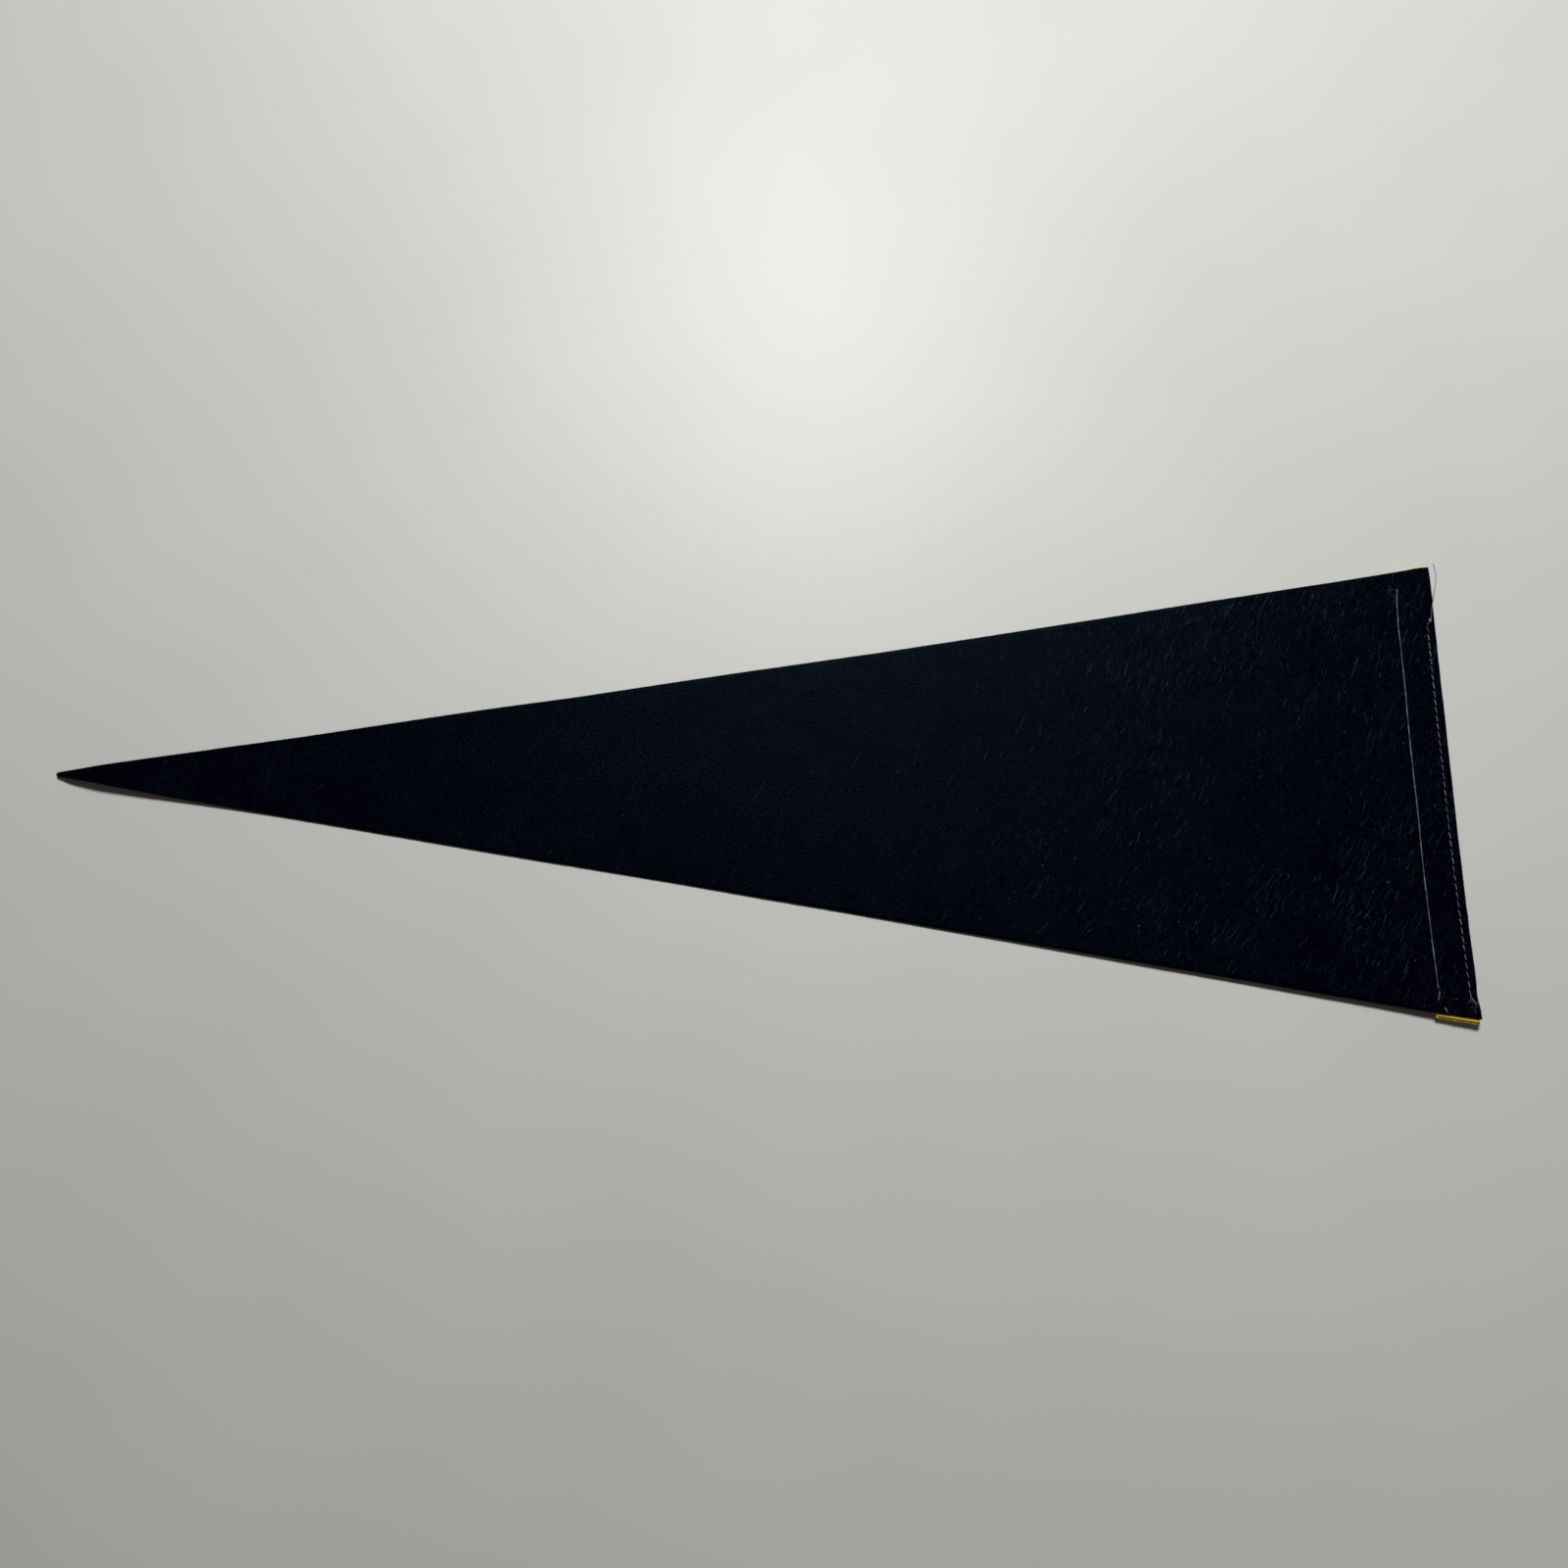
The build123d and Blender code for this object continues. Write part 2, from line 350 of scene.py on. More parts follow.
def twisted_thread(name, route, material, radius=THREAD_RADIUS):
    """Sewing thread: three plies twisted round each other along a route."""
    path = even_steps(route, THREAD_STEP)
    side, up = frames_along(path)
    gone = np.arange(len(path)) * THREAD_STEP
    vertices, faces = [], []
    for ply in range(THREAD_PLIES):
        angle = 2 * math.pi * (gone / TWIST_PITCH + ply / THREAD_PLIES)
        arm = side * np.cos(angle)[:, None] + up * np.sin(angle)[:, None]
        centre = path + arm * radius * (1 - PLY_SHARE)
        widths = np.full(len(path), radius * PLY_SHARE * PLY_OVERLAP)
        start = sum(len(v) for v in vertices)
        tube_vertices, tube_faces = ring_tube(centre, widths, PLY_SIDES, start)
        vertices.append(tube_vertices)
        faces += tube_faces
    return new_piece(name, np.concatenate(vertices), faces, material)


FIBRE_SIDES = 3


def fibres(name, spines, radii, material):
    """Many fine tapered fibres. spines is fibre x point x 3, radii one to each fibre."""
    count, points = spines.shape[:2]
    taper = 0.2 + 0.8 * np.sin(np.linspace(0.12, math.pi - 0.12, points))
    tangent = unit(np.gradient(spines, axis=1))
    side = unit(np.cross(tangent, [0.01, 0.02, 1.0]))
    up = np.cross(side, tangent)
    angle = math.pi / 2 + np.arange(FIBRE_SIDES) * 2 * math.pi / FIBRE_SIDES
    spokes = side[:, :, None] * np.cos(angle)[:, None] + up[:, :, None] * np.sin(angle)[:, None]
    size = (radii[:, None] * taper)[:, :, None, None]
    vertices = (spines[:, :, None] + spokes * size).reshape(-1, 3)
    ring = np.arange(FIBRE_SIDES)
    after = (ring + 1) % FIBRE_SIDES
    step = np.arange(points - 1)[:, None] * FIBRE_SIDES
    quads = np.stack([step + ring, step + ring + FIBRE_SIDES,
                      step + after + FIBRE_SIDES, step + after], axis=-1).reshape(-1, 4)
    first = np.arange(count)[:, None, None] * points * FIBRE_SIDES
    caps = np.stack([ring, (points - 1) * FIBRE_SIDES + ring[::-1]])
    faces = (first + quads).reshape(-1, 4).tolist() + (first + caps).reshape(-1, 3).tolist()
    return new_piece(name, vertices, faces, material)


# ------------------------------------------------------------------ materials


def new_material(name):
    material = bpy.data.materials.new(name)
    material.use_nodes = True
    tree = material.node_tree
    return material, tree, tree.nodes["Principled BSDF"]


def add_node(tree, kind, settings=(), inputs=()):
    node = tree.nodes.new(kind)
    for key, value in dict(settings).items():
        setattr(node, key, value)
    for key, value in dict(inputs).items():
        if isinstance(value, bpy.types.NodeSocket):
            tree.links.new(value, node.inputs[key])
        else:
            node.inputs[key].default_value = value
    return node


def place_in(tree):
    return add_node(tree, "ShaderNodeTexCoord").outputs["Object"]


def arithmetic(tree, operation, a, b, clamp=False):
    settings = {"operation": operation, "use_clamp": clamp}
    return add_node(tree, "ShaderNodeMath", settings, {0: a, 1: b}).outputs[0]


def blotches(tree, place, per_metre, detail, low, high):
    """Noise that goes from 0 to 1 between two levels."""
    noise = add_node(tree, "ShaderNodeTexNoise", {}, {"Vector": place, "Scale": per_metre,
                                                      "Detail": detail, "Roughness": 0.6})
    spread = {"Value": noise.outputs["Fac"], "From Min": low, "From Max": high}
    return add_node(tree, "ShaderNodeMapRange", {}, spread).outputs[0]


def strands(tree, place, angle, length, width, low, high):
    """Fibre-like streaks, lying at an angle to X: noise drawn out along one direction."""
    turned = add_node(tree, "ShaderNodeMapping", {"vector_type": "TEXTURE"},
                      {"Vector": place, "Rotation": (0, 0, math.radians(angle)),
                       "Scale": (length, width, width)})
    return blotches(tree, turned.outputs[0], 1.0, 2.0, low, high)


def colour_mix(tree, share, a, b):
    node = add_node(tree, "ShaderNodeMix", {"data_type": "RGBA"}, {"Factor": share})
    for number, value in ((6, a), (7, b)):
        if isinstance(value, bpy.types.NodeSocket):
            tree.links.new(value, node.inputs[number])
        else:
            node.inputs[number].default_value = (*value, 1)
    return node.outputs[2]


def felt_material(name, deep, light, fuzz, streak_share, roughness, gloss, gloss_tint):
    """Needle-punched felt: a mat of fibres in every direction, more of them along one."""
    material, tree, shader = new_material(name)
    place = place_in(tree)
    flat, brushed, steep = [strands(tree, place, angle, 3.0 * MM, 0.42 * MM, 0.46, 0.66)
                            for angle in (12, 64, 118)]
    crossed = arithmetic(tree, "MAXIMUM", flat, steep)
    both = arithmetic(tree, "ADD", arithmetic(tree, "MULTIPLY", crossed, 0.5), brushed)
    grain = blotches(tree, place, 1 / (0.9 * MM), 3.0, 0.38, 0.66)
    mat = arithmetic(tree, "MULTIPLY", both, grain, clamp=True)
    tufts = blotches(tree, place, 1 / (24 * MM), 3.0, 0.4, 0.62)
    patches = arithmetic(tree, "ADD", arithmetic(tree, "MULTIPLY", tufts, 0.5), 0.5)
    share = arithmetic(tree, "MULTIPLY", mat, patches)
    base = colour_mix(tree, share, deep, light)
    wisps = strands(tree, place, 63, 7 * MM, 0.55 * MM, 0.6, 0.78)
    wispy = arithmetic(tree, "MULTIPLY", wisps, arithmetic(tree, "MULTIPLY", tufts, streak_share))
    tree.links.new(colour_mix(tree, wispy, base, fuzz), shader.inputs["Base Color"])
    height = arithmetic(tree, "ADD", mat, arithmetic(tree, "MULTIPLY", grain, 0.6))
    bump = add_node(tree, "ShaderNodeBump", {}, {"Height": height, "Strength": 0.65,
                                                 "Distance": 0.12 * MM})
    tree.links.new(bump.outputs[0], shader.inputs["Normal"])
    shader.inputs["Roughness"].default_value = roughness
    shader.inputs["Specular IOR Level"].default_value = gloss
    shader.inputs["Specular Tint"].default_value = (*gloss_tint, 1)
    return material


def plain_fibre_material(name, dark, pale):
    """Loose fibres, each stretch a slightly different shade."""
    material, tree, shader = new_material(name)
    place = place_in(tree)
    shade = blotches(tree, place, 1 / (3 * MM), 2.0, 0.35, 0.65)
    tree.links.new(colour_mix(tree, shade, dark, pale), shader.inputs["Base Color"])
    shader.inputs["Roughness"].default_value = 0.55
    shader.inputs["Specular IOR Level"].default_value = 0.3
    return material


def thread_material():
    """Spun sewing thread: off-white, a little grimy, with fine fibre lines."""
    material, tree, shader = new_material("pale_thread")
    place = place_in(tree)
    lines = blotches(tree, place, 1 / (0.09 * MM), 2.0, 0.3, 0.7)
    grime = blotches(tree, place, 1 / (5 * MM), 2.0, 0.38, 0.62)
    clean = colour_mix(tree, lines, (0.15, 0.16, 0.19), (0.39, 0.41, 0.46))
    tree.links.new(colour_mix(tree, grime, clean, (0.05, 0.06, 0.08)), shader.inputs["Base Color"])
    bump = add_node(tree, "ShaderNodeBump", {}, {"Height": lines, "Strength": 0.6,
                                                 "Distance": 0.03 * MM})
    tree.links.new(bump.outputs[0], shader.inputs["Normal"])
    shader.inputs["Roughness"].default_value = 0.6
    shader.inputs["Specular IOR Level"].default_value = 0.35
    shader.inputs["Sheen Weight"].default_value = 0.2
    return material


NAVY_DEEP = (0.0001, 0.0002, 0.0016)
NAVY_LIGHT = (0.0028, 0.0035, 0.0115)
NAVY_FUZZ = (0.012, 0.016, 0.034)
NAVY_SHINE = (0.36, 0.60, 1.0)
YELLOW_DEEP = (0.68, 0.485, 0.035)
YELLOW_LIGHT = (0.93, 0.75, 0.10)
YELLOW_FUZZ = (0.96, 0.80, 0.25)
WHITE = (1.0, 1.0, 1.0)
navy_felt = felt_material("navy_felt", NAVY_DEEP, NAVY_LIGHT, NAVY_FUZZ, streak_share=0.6,
                          roughness=0.31, gloss=0.031, gloss_tint=NAVY_SHINE)
yellow_felt = felt_material("yellow_felt", YELLOW_DEEP, YELLOW_LIGHT, YELLOW_FUZZ,
                            streak_share=0.3, roughness=0.85, gloss=0.2, gloss_tint=WHITE)
pale_thread = thread_material()
navy_fibre = plain_fibre_material("navy_fibre", (0.002, 0.003, 0.010), (0.012, 0.017, 0.042))
pale_fibre = plain_fibre_material("pale_fibre", (0.018, 0.024, 0.050), (0.075, 0.095, 0.16))
yellow_fibre = plain_fibre_material("yellow_fibre", (0.65, 0.43, 0.03), (0.85, 0.66, 0.12))
lint_fibre = plain_fibre_material("lint_fibre", (0.14, 0.15, 0.18), (0.36, 0.37, 0.40))

# ------------------------------------------------------------------ seams: where the needle went

HAND_FEED = 0.07 * MM  # how uneven the stitches are
# How deep each row presses the felt down: its valley and its holes
INNER_BACK_PRESS = (0.16 * MM, 0.16 * MM)
OUTER_BACK_PRESS = (0.18 * MM, 0.3 * MM)
FRONT_PRESS = (0.3 * MM, 0.2 * MM)


def hole_row(low, high, seed):
    """Y of each needle hole of a row, from the box of its thread, with a hand-fed unevenness."""
    past = LEG_OFFSET + CUT_END
    first, last = high.y - past, low.y + past
    count = round((first - last) / STITCH_LENGTH) + 1
    holes = np.linspace(first, last, count)
    holes[1:-1] += np.random.default_rng(seed).normal(0, HAND_FEED, count - 2)
    return holes


inner_holes = hole_row(inner_low, inner_high, 31)
outer_holes = hole_row(outer_low, outer_high, 32)


def inner_row(y):
    return INNER_ROW_X + stray(INNER_ROW_LINE, y)


def outer_row(y):
    return OUTER_ROW_X + stray(OUTER_ROW_LINE, y)


def stitched_top(x, y):
    z = field_top(x, y)
    z = z - seam_press(x, y, inner_row(y), inner_holes, *INNER_BACK_PRESS)
    return z - seam_press(x, y, outer_row(y), outer_holes, *OUTER_BACK_PRESS)


def stitched_strip_under(x, y):
    z = board_gap(x, y)
    z = z + seam_press(x, y, inner_row(y), inner_holes, *FRONT_PRESS)
    return z + seam_press(x, y, outer_row(y), outer_holes, *FRONT_PRESS)


# ------------------------------------------------------------------ field

COARSE_STEPS = 96  # across the field
FINE_STEPS = 4 * COARSE_STEPS  # across its header, where the stitches are
TIP_COLUMNS = (0, 0.15, 0.4, 0.8, 1.6, 2.6, 3.8, 5.2, 7.0, 9.0)  # mm from the tip
MAIN_COLUMNS = 258
HEADER_COLUMNS = 47


def column(x, steps):
    """Plan points across the field, from -Y to +Y."""
    v = np.linspace(-1, 1, steps + 1)
    y = v * half_width(x, v)
    share = smoothstep((x - STRIP_INNER_X) / (HEADER_X - STRIP_INNER_X))
    return np.column_stack([x + share * stray(HEADER_LINE, y), y])


def field_columns():
    fine_start = STRIP_INNER_X - 2 * MM
    tip = TIP_X + np.array(TIP_COLUMNS) * MM
    main = np.linspace(TIP_X + 11 * MM, fine_start - 1.2 * MM, MAIN_COLUMNS)
    header = np.linspace(fine_start, HEADER_X, HEADER_COLUMNS)
    coarse = [column(x, COARSE_STEPS) for x in (*tip, *main)]
    return coarse + [column(x, FINE_STEPS) for x in header]


vertices, faces = slab(field_columns(), stitched_top, field_under, FIELD_EDGE_ROUND, seed=41)
field = new_piece("felt_field", vertices, faces, navy_felt)
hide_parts("field")

# ------------------------------------------------------------------ header strip

STRIP_STEPS_X = 32
STRIP_STEPS_Y = 380


def strip_end(x, side):
    """From the centre line to one end of the strip."""
    proud = np.where(side < 0, np.interp(x, (STRIP_INNER_X, STRIP_OUTER_X), STRIP_PROUD_NEAR),
                     np.interp(x, (STRIP_INNER_X, STRIP_OUTER_X), STRIP_PROUD_FAR))
    return half_width(x, side) + proud


def strip_columns():
    """The strip's ends are cut along the field's sides, each a little proud of them."""
    columns = []
    for x in np.linspace(STRIP_INNER_X, STRIP_OUTER_X, STRIP_STEPS_X + 1):
        y = np.linspace(-strip_end(x, -1), strip_end(x, 1), STRIP_STEPS_Y + 1)
        outer_share = (x - STRIP_INNER_X) / (STRIP_OUTER_X - STRIP_INNER_X)
        trim = STRIP_FAR_TRIM * outer_share * smoothstep((y - y[-1]) / STRIP_TRIM_REACH + 1)
        columns.append(np.column_stack([x - trim, y]))
    return columns


def strip_top(x, y):
    return board_gap(x, y) + FELT


vertices, faces = slab(strip_columns(), strip_top, stitched_strip_under, STRIP_EDGE_ROUND, seed=42)
strip = new_piece("felt_header_strip", vertices, faces, yellow_felt)
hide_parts("header_strip")

# ------------------------------------------------------------------ seam threads


def on_back(points):
    """Plan points with heights above the back face, as points in space."""
    points = np.asarray(points, float)
    base = field_top(points[:, 0], points[:, 1])
    return np.column_stack([points[:, :2], base + points[:, 2]])


def on_front(points):
    """Plan points with heights above the underside of the strip, as points in space."""
    points = np.asarray(points, float)
    base = board_gap(points[:, 0], points[:, 1])
    return np.column_stack([points[:, :2], base + points[:, 2]])


def stitches(row, holes, side, run, lock, dive=LEG_OFFSET):
    """Corners of one thread of a row, with heights run on the face and lock inside the felt."""
    corners = []
    for y in holes:
        enter = (row(y) + side * LEG_OFFSET, y + dive)
        leave = (row(y) - side * LEG_OFFSET, y - dive)
        corners += [(*enter, run), (*enter, lock), (*leave, lock), (*leave, run)]
    return corners


def cut_end(corner, direction):
    return (corner[0], corner[1] + direction * CUT_END, corner[2])


LYING = THREAD_RADIUS + 0.02 * MM  # a thread's centre above the face that it lies on
DASH_DIVE = 0.48 * MM  # from a hole to where the outer row's thread starts to go down
TAUT_DIP = 0.9 * MM  # each side of a hole, where the inner row's thread starts to go down
TAUT_WAVER = 0.035 * MM
NEEDLE_LOOP = 0.3 * MM  # how far the needle thread's loops come up out of the back face

# Routes of the loose ends, in mm: X, Y and the height over the back face. Where it is negative,
# the thread is in the felt, or lost in its nap.
INNER_TAIL = ((311.0, -94.8, -0.5), (311.3, -95.6, -0.4), (311.4, -96.3, 0.3), (310.9, -97.4, 0.2),
              (310.5, -98.8, 0.25), (310.5, -99.8, 0.1), (310.9, -99.8, -0.5), (311.4, -98.9, -0.5),
              (311.7, -97.9, 0.15), (311.9, -98.8, -0.5), (312.1, -100.4, -0.6),
              (312.4, -101.8, -0.12), (312.7, -102.6, -0.5), (313.0, -103.6, 0.3),
              (313.4, -104.9, 0.35), (313.6, -105.9, -0.4))
OUTER_END = ((324.9, -98.4, 0.2), (325.9, -99.6, 0.3), (326.8, -101.6, 0.3))
KNOT_PLACE = (326.8 * MM, 81.3 * MM)
KNOT_LEAD = ((326.6, 80.8, 0.0), (325.8, 80.2, -0.35))  # from the knot into the felt
# X, Y and Z: part.py's route with a point added, moved to follow the photograph and to
# go over the felt's edge as it really lies
OUTER_TAIL = ((327.3, 82.2, 3.35), (327.9, 84.6, 3.32), (328.6, 88.2, 3.28), (329.6, 92.0, 3.15),
              (330.9, 95.6, 2.10), (332.6, 99.4, 0.80), (334.0, 104.2, 0.20), (334.0, 108.6, 0.20),
              (333.3, 112.0, 0.20))


def in_metres(points):
    return [tuple(v * MM for v in p) for p in points]


def front_thread(name, node, row, holes, lock):
    """The needle thread: buried stitches on the front, a loop at each hole."""
    run = FRONT_VALLEY_DEPTH - THREAD_RADIUS
    corners = stitches(row, holes, -1, run, lock)
    corners = [cut_end(corners[0], 1), *corners, cut_end(corners[-1], -1)]
    thread = twisted_thread(name, chaikin(on_front(corners), 2), pale_thread)
    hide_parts(node)


def inner_back_thread(seed):
    """The inner row's bobbin thread is pulled straight, so it lies on the back face in one line,
    and the needle thread's loops come up over it at the holes."""
    rng = np.random.default_rng(seed)
    first_y = inner_holes[0] + CUT_END
    taut = [(inner_row(first_y), first_y, LYING)]
    for y in inner_holes:
        row_x = inner_row(y) + rng.normal(0, TAUT_WAVER)
        taut += [(row_x, y + TAUT_DIP, 0.3 * LYING), (row_x, y, 0),
                 (row_x, y - TAUT_DIP, 0.3 * LYING)]
    taut += in_metres(INNER_TAIL)
    thread = twisted_thread("inner_bobbin_thread_plied", chaikin(on_back(taut), 2), pale_thread)
    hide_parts("inner_bobbin_thread")


def outer_back_thread():
    """The outer row is balanced: a dash for each stitch, and a dip where the threads hook."""
    run = LYING - BACK_VALLEY_DEPTH
    dashes = stitches(outer_row, outer_holes, 1, run, -FELT - HOOK_GAP, DASH_DIVE)
    dashes = [*in_metres(KNOT_LEAD), *dashes, *in_metres(OUTER_END)]
    thread = twisted_thread("outer_bobbin_thread_plied", chaikin(on_back(dashes), 2), pale_thread)
    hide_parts("outer_bobbin_thread")


inner_back_thread(seed=51)
front_thread("inner_needle_thread_plied", "inner_needle_thread", inner_row, inner_holes,
             2 * FELT + NEEDLE_LOOP)
outer_back_thread()
front_thread("outer_needle_thread_plied", "outer_needle_thread", outer_row, outer_holes,
             FELT + HOOK_GAP)

# ------------------------------------------------------------------ knot and loose end


KNOT_SIZE = 0.19 * MM
KNOT_HEIGHT = 0.42 * MM
KNOT_THREAD_RADIUS = 0.28 * MM  # fluffed up, so thicker than the thread


def knot_route():
    """A small overhand knot."""
    t = np.linspace(0, 2 * math.pi, 60)[:-2]
    size = KNOT_SIZE
    x = KNOT_PLACE[0] + size * (np.sin(t) + 2 * np.sin(2 * t))
    y = KNOT_PLACE[1] + size * (np.cos(t) - 2 * np.cos(2 * t))
    base = field_top(np.array([KNOT_PLACE[0]]), np.array([KNOT_PLACE[1]]))[0]
    z = base + KNOT_HEIGHT - 1.4 * size * np.sin(3 * t)
    return np.column_stack([x, y, z])


knot = twisted_thread("outer_knot", knot_route(), pale_thread, radius=KNOT_THREAD_RADIUS)
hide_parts("outer_thread_knot")


def smooth_route(name, points):
    """Points along a smooth line with the given control points."""
    curve = bpy.data.curves.new(name, "CURVE")
    curve.dimensions = "3D"
    curve.resolution_u = 24
    spline = curve.splines.new("NURBS")
    spline.points.add(len(points) - 1)
    for point, place in zip(spline.points, points):
        point.co = (*place, 1)
    spline.order_u = 3
    spline.use_endpoint_u = True
    holder = bpy.data.objects.new(name, curve)
    line = bpy.data.meshes.new_from_object(holder)
    route = np.array([v.co for v in line.vertices])
    bpy.data.objects.remove(holder)
    bpy.data.meshes.remove(line)
    return route


tail_route = smooth_route("tail_line", in_metres(OUTER_TAIL))
loose_end = twisted_thread("outer_loose_end", tail_route, pale_thread)
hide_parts("outer_thread_tail")

# ------------------------------------------------------------------ fibres on the felt


def laid_spines(roots, angle, length, bend, surface, clearance, points, rng):
    """Curved fibres lying on a surface. angle and length are one to each fibre."""
    t = np.linspace(-0.5, 0.5, points)
    turn = angle[:, None] + bend[:, None] * t
    step = length[:, None] / (points - 1)
    x = roots[:, :1] + np.cumsum(np.cos(turn) * step, axis=1)
    y = roots[:, 1:] + np.cumsum(np.sin(turn) * step, axis=1)
    y = inside(x, y, 0.3 * MM)
    lift = clearance[:, None] * (1 - (2 * t) ** 2) + rng.normal(0, 0.01 * MM, x.shape)
    return np.stack([x, y, surface(x, y) + np.maximum(lift, -0.01 * MM)], axis=-1)


def scatter(count, rng, weight):
    """Places on the field, kept with a chance of weight(x, y)."""
    kept = np.zeros((0, 2))
    while len(kept) < count:
        x = rng.uniform(TIP_X + 8 * MM, HEADER_X - 1 * MM, 4 * count)
        y = rng.uniform(-HALF_WIDTH, HALF_WIDTH, 4 * count)
        ok = (y == inside(x, y, 1 * MM)) & (rng.uniform(0, 1, 4 * count) < weight(x, y))
        kept = np.concatenate([kept, np.column_stack([x, y])[ok]])
    return kept[:count]


def lean(x, y):
    """The way that the felt's fibres were brushed: steep, and less steep in the near corner."""
    across = smoothstep((y + 80 * MM) / (130 * MM))
    return np.radians(57 + 12 * across)


# Where wisps gather (positive) or are missing (negative): X, Y, radius in mm, and strength
WISP_PATCHES = ((298, -46, 22, 0.4), (286, -75, 20, 0.4), (204, 72, 30, 0.5), (245, 68, 24, 0.4),
                (180, 48, 32, 0.4), (300, 48, 18, 0.2), (246, 0, 46, -0.5), (219, -46, 26, -0.3))


def stroke_weight(x, y):
    """Wisps gather in patches, and more of them towards the header."""
    along = smoothstep((x - 30 * MM) / (230 * MM))
    patch = 0.3 + 0.35 * patchy(x, y, 21 * MM, 61) + 0.5 * patchy(x, y, 8 * MM, 62)
    for middle_x, middle_y, radius, strength in WISP_PATCHES:
        away = ((x - middle_x * MM) ** 2 + (y - middle_y * MM) ** 2) / (radius * MM) ** 2
        patch = patch + strength * np.exp(-away)
    return (0.05 + 0.95 * along) * np.clip(patch, 0.03, 1)


def everywhere(x, y):
    return 1 + 0 * x


def lint_weight(x, y):
    """A little more lint towards the header."""
    return 0.4 + 0.6 * smoothstep((x - 0.02) / 0.3)


def pale_wisps(count, seed):
    """Pale fibres that lie brushed over the felt."""
    rng = np.random.default_rng(seed)
    roots = scatter(count, rng, stroke_weight)
    angle = lean(*roots.T) + rng.normal(0, 0.12, count)
    length = rng.gamma(1.8, 1.7 * MM, count) + 0.6 * MM
    bend = rng.normal(0, 0.2, count)
    clearance = rng.uniform(0.02, 0.07, count) * MM
    spines = laid_spines(roots, angle, length, bend, stitched_top, clearance, 6, rng)
    radii = np.clip(0.027 * np.exp(rng.normal(0, 0.55, count)), 0.012, 0.1) * MM
    fibres("pale_wisps", spines, radii, pale_fibre)


def surface_nap(count, seed):
    """Short dark fibres in every direction."""
    rng = np.random.default_rng(seed)
    roots = scatter(count, rng, everywhere)
    angle = rng.uniform(0, math.pi, count)
    length = rng.gamma(3, 0.5 * MM, count) + 0.4 * MM
    bend = rng.normal(0, 1.2, count)
    clearance = rng.uniform(0.04, 0.3, count) * MM
    spines = laid_spines(roots, angle, length, bend, stitched_top, clearance, 4, rng)
    radii = rng.uniform(0.015, 0.04, count) * MM
    fibres("surface_nap", spines, radii, navy_fibre)


def lint_specks(count, seed):
    """Curled bits of pale lint."""
    rng = np.random.default_rng(seed)
    roots = scatter(count, rng, lint_weight)
    angle = rng.uniform(0, math.pi, count)
    length = rng.uniform(0.5, 1.6, count) * MM
    bend = rng.normal(0, 2.5, count)
    clearance = rng.uniform(0.05, 0.2, count) * MM
    spines = laid_spines(roots, angle, length, bend, stitched_top, clearance, 6, rng)
    radii = rng.uniform(0.04, 0.1, count) * MM
    fibres("lint_specks", spines, radii, lint_fibre)


pale_wisps(2100, seed=71)
surface_nap(9900, seed=72)


def edge_spines(edge_x, edge_y, out_x, out_y, level, length, rng, points=4):
    """Short fibres that stand out of a cut edge."""
    count = len(edge_x)
    t = np.linspace(0, 1, points)
    swing = rng.normal(0, 0.7, count)
    out = np.column_stack([out_x * np.cos(swing) - out_y * np.sin(swing),
                           out_x * np.sin(swing) + out_y * np.cos(swing)])
    curl = rng.normal(0, 0.35, count)
    along = np.column_stack([-out[:, 1], out[:, 0]])
    reach = length[:, None] * t
    x = edge_x[:, None] + out[:, :1] * reach + along[:, :1] * (curl[:, None] * reach * t)
    y = edge_y[:, None] + out[:, 1:] * reach + along[:, 1:] * (curl[:, None] * reach * t)
    z = level[:, None] + rng.normal(0, 0.25, count)[:, None] * reach * t
    return np.stack([x, y, np.maximum(z, 0.03 * MM)], axis=-1)


FRINGE_ROOT = 0.1 * MM  # how deep in the edge its fibres start


def field_fringe(count, seed):
    """Fibres along the field's three cut edges."""
    rng = np.random.default_rng(seed)
    share = rng.uniform(0, 1, count)
    on_side = share < 0.86
    side = np.where(rng.uniform(0, 1, count) < 0.5, -1.0, 1.0)
    x = np.where(on_side, rng.uniform(TIP_X + 1 * MM, HEADER_X, count), HEADER_X)
    y = np.where(on_side, side * half_width(x, side), rng.uniform(-HALF_WIDTH, HALF_WIDTH, count))
    out_x = np.where(on_side, -SIDE_SLOPE, 1.0)
    out_y = np.where(on_side, side, 0.0)
    bulge = np.where(on_side, 0, stray(HEADER_LINE, y))
    level = field_under(x, y) + rng.uniform(0.1, 0.95, count) * FELT
    length = rng.gamma(2.2, 0.16 * MM, count) + 0.1 * MM
    root_x, root_y = x + bulge - out_x * FRINGE_ROOT, y - out_y * FRINGE_ROOT
    spines = edge_spines(root_x, root_y, out_x, out_y, level, length, rng)
    radii = rng.uniform(0.012, 0.026, count) * MM
    fibres("field_fringe", spines, radii, navy_fibre)


field_fringe(4200, seed=73)


def strip_fringe(count, seed):
    """Fibres along the strip's two ends, more of them at the near one: these extra yellow fibres
    are partly a painted tint for the brownish shadow under that end.
    """
    rng = np.random.default_rng(seed)
    x = rng.uniform(STRIP_INNER_X, STRIP_OUTER_X, count)
    side = np.where(rng.uniform(0, 1, count) < 0.6, -1.0, 1.0)
    y = side * strip_end(x, side)
    level = board_gap(x, y) + rng.uniform(0.1, 0.95, count) * FELT
    length = rng.gamma(2.2, 0.15 * MM, count) + 0.1 * MM
    root_y = y - side * FRINGE_ROOT
    spines = edge_spines(x, root_y, -SIDE_SLOPE + 0 * x, side, level, length, rng)
    radii = rng.uniform(0.012, 0.03, count) * MM
    fibres("strip_fringe", spines, radii, yellow_fibre)


strip_fringe(800, seed=74)
lint_specks(24, seed=75)


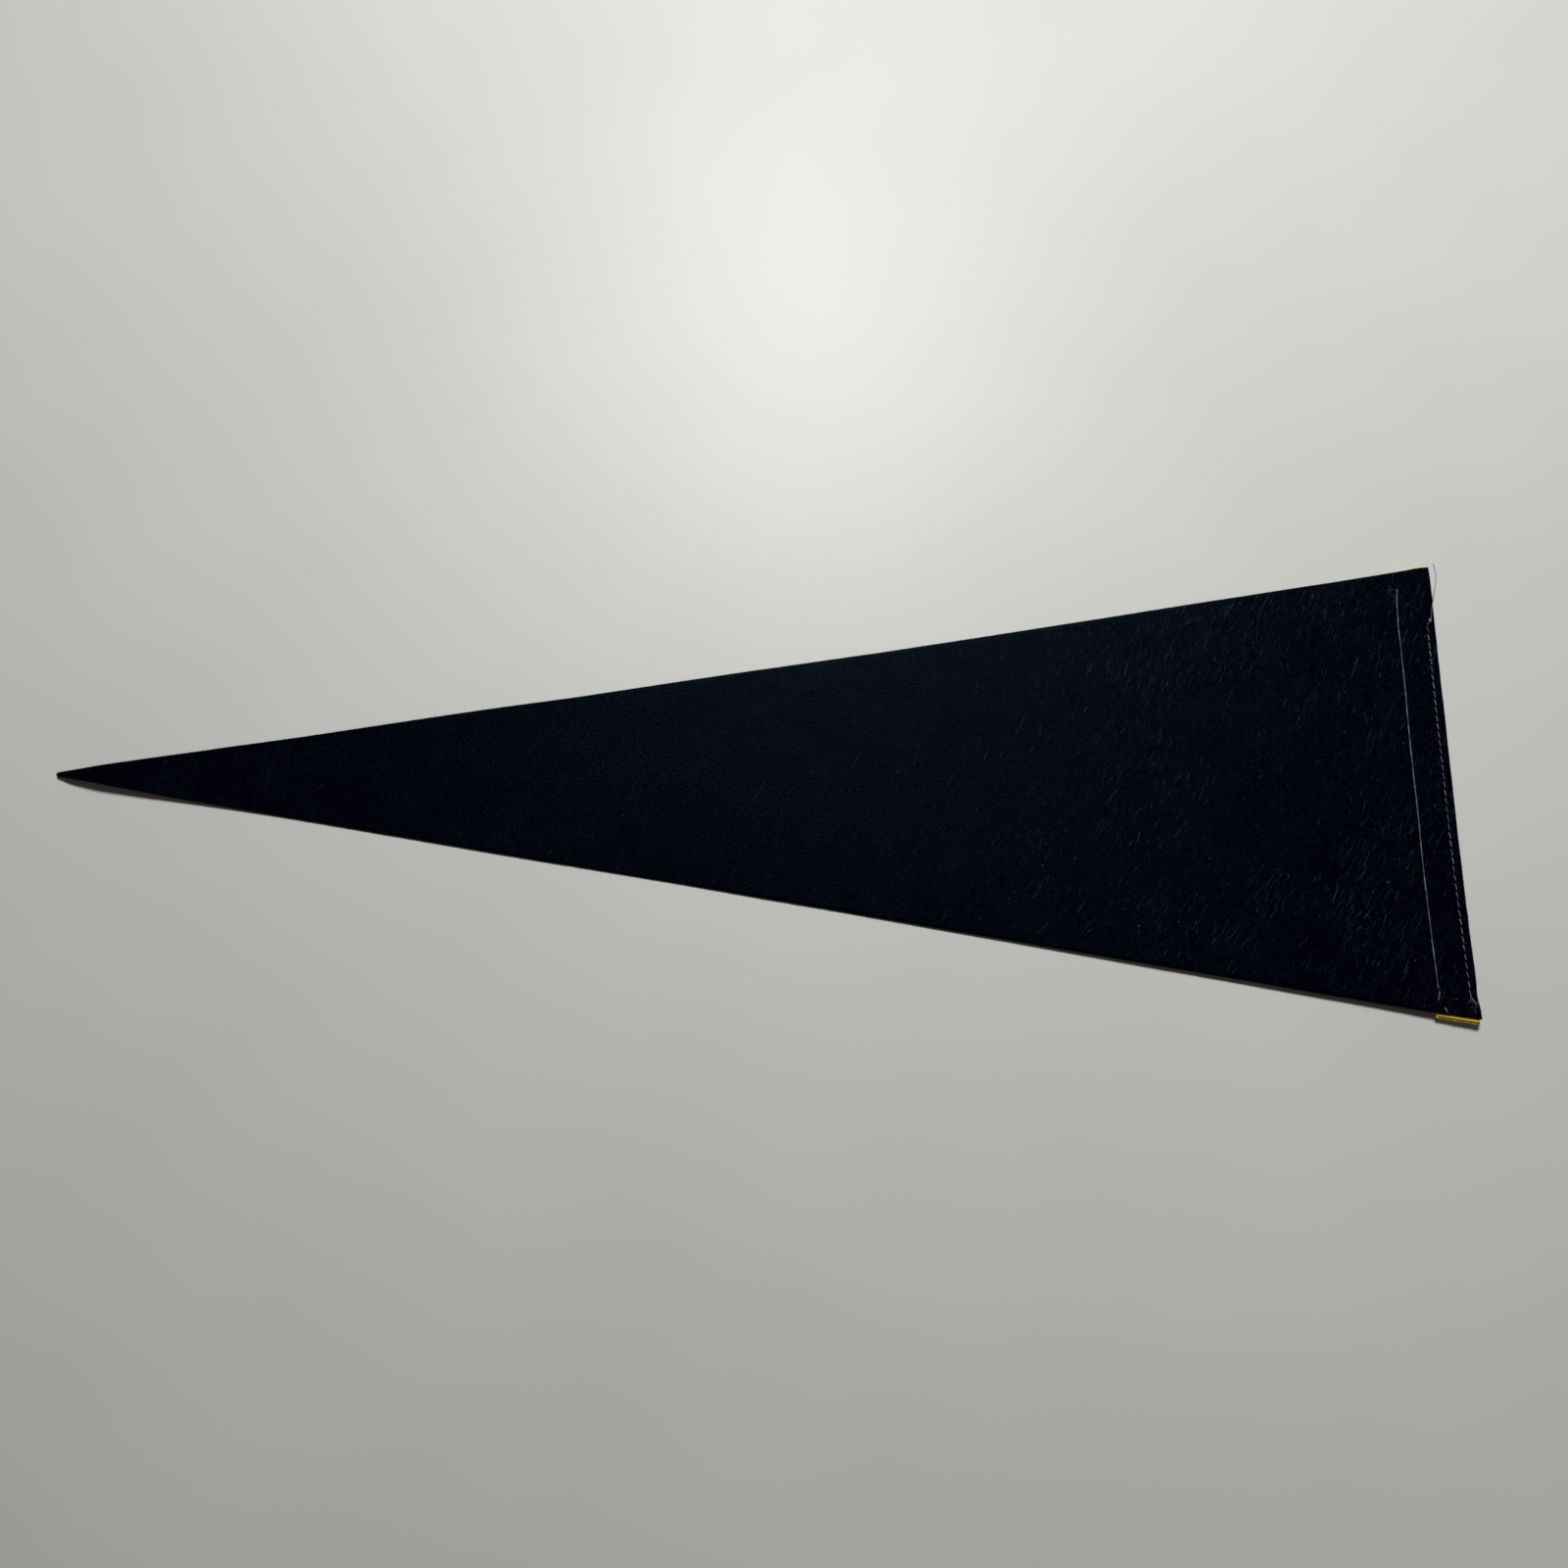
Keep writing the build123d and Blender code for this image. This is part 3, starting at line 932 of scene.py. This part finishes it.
# Fluff and frayed plies: X, Y and the height over the back face, in mm
FUZZ_SPOTS = ((327.0, 81.5, 0.5), (309.6, 97.0, 0.15), (311.3, 93.8, 0.15), (311.1, 89.6, 0.15),
              (323.7, -101.1, 0.2), (326.1, -99.8, 0.3), (326.8, -101.6, 0.3), (325.9, -103.3, 0.2),
              (325.6, -105.0, 0.2))


def thread_fuzz(count, seed):
    """Frayed ply ends and fluff: at the knot, the inner row's start and the outer row's end."""
    rng = np.random.default_rng(seed)
    spot = np.array(FUZZ_SPOTS)[rng.integers(0, len(FUZZ_SPOTS), count)] * MM
    x = spot[:, 0] + rng.normal(0, 0.35 * MM, count)
    y = spot[:, 1] + rng.normal(0, 0.6 * MM, count)
    level = field_top(x, y) + spot[:, 2] * rng.uniform(0.3, 1, count)
    angle = rng.uniform(0, 2 * math.pi, count)
    length = rng.uniform(0.8, 2.4, count) * MM
    spines = edge_spines(x, y, np.cos(angle), np.sin(angle), level, length, rng, points=6)
    radii = rng.uniform(0.02, 0.04, count) * MM
    fibres("thread_fuzz", spines, radii, pale_thread)


thread_fuzz(56, seed=76)

# ------------------------------------------------------------------ board, lights and camera

BOARD_SIZE = 3.0
BOARD_DIM = (0.595, 0.607, 0.592)
BOARD_PALE = (0.625, 0.638, 0.624)


def board_material():
    """A pale board, a little blotchy, with a fine tooth."""
    material, tree, shader = new_material("pale_board")
    place = place_in(tree)
    tone = blotches(tree, place, 1 / (180 * MM), 2.0, 0.3, 0.7)
    tree.links.new(colour_mix(tree, tone, BOARD_DIM, BOARD_PALE), shader.inputs["Base Color"])
    tooth = blotches(tree, place, 1 / (0.9 * MM), 3.0, 0.3, 0.7)
    bump = add_node(tree, "ShaderNodeBump", {}, {"Height": tooth, "Strength": 0.12,
                                                 "Distance": 0.1 * MM})
    tree.links.new(bump.outputs[0], shader.inputs["Normal"])
    shader.inputs["Roughness"].default_value = 0.47
    shader.inputs["Specular IOR Level"].default_value = 0.42
    return material


board_mesh = bpy.data.meshes.new("board")
half = BOARD_SIZE / 2
corners = [(-half, -half, 0), (half, -half, 0), (half, half, 0), (-half, half, 0)]
board_mesh.from_pydata(corners, [], [(0, 1, 2, 3)])
board_mesh.materials.append(board_material())
board = bpy.data.objects.new("board", board_mesh)
bpy.context.scene.collection.objects.link(board)

KEY_PLACE = (0.03, 1.05, 1.38)
KEY_SIZE = 0.4
KEY_POWER = 31.5
KEY_COLOUR = (1.0, 0.99, 0.96)
KEY_TURN = 19  # degrees, from facing the middle of the pennant towards +X
key = bpy.data.lights.new("key", "AREA")
key.shape = "SQUARE"
key.size = KEY_SIZE
key.energy = KEY_POWER
key.color = KEY_COLOUR
key_lamp = bpy.data.objects.new("key", key)
key_lamp.location = KEY_PLACE
towards = Matrix.Rotation(-math.atan2(KEY_PLACE[1], KEY_PLACE[2]), 4, "X")
turned = Matrix.Rotation(math.radians(-KEY_TURN), 4, "Y")
key_lamp.matrix_world = Matrix.Translation(KEY_PLACE) @ towards @ turned
bpy.context.scene.collection.objects.link(key_lamp)

ROOM_COLOUR = (1.0, 0.88, 0.9, 1)
ROOM_STRENGTH = 0.055
world = bpy.data.worlds.new("room")
world.use_nodes = True
room = world.node_tree.nodes["Background"]
room.inputs["Color"].default_value = ROOM_COLOUR
room.inputs["Strength"].default_value = ROOM_STRENGTH
bpy.context.scene.world = world
bpy.context.scene.view_settings.view_transform = "Standard"

CAMERA_PLACE = (0.01627, -0.12041, 0.5437)
CAMERA_TILT = 12.35  # degrees from straight down, towards +Y
CAMERA_YAW = 0.70
CAMERA_ROLL = -0.26
CAMERA_LENS = 27.05  # mm, for a sensor 36 mm wide
camera = bpy.data.cameras.new("camera")
camera.sensor_width = 36.0
camera.lens = CAMERA_LENS
camera.clip_start = 0.01
view_point = bpy.data.objects.new("camera", camera)
turn = [Matrix.Rotation(math.radians(angle), 4, axis)
        for angle, axis in ((CAMERA_YAW, "Z"), (CAMERA_TILT, "X"), (CAMERA_ROLL, "Z"))]
view_point.matrix_world = Matrix.Translation(CAMERA_PLACE) @ turn[0] @ turn[1] @ turn[2]
bpy.context.scene.collection.objects.link(view_point)
bpy.context.scene.camera = view_point
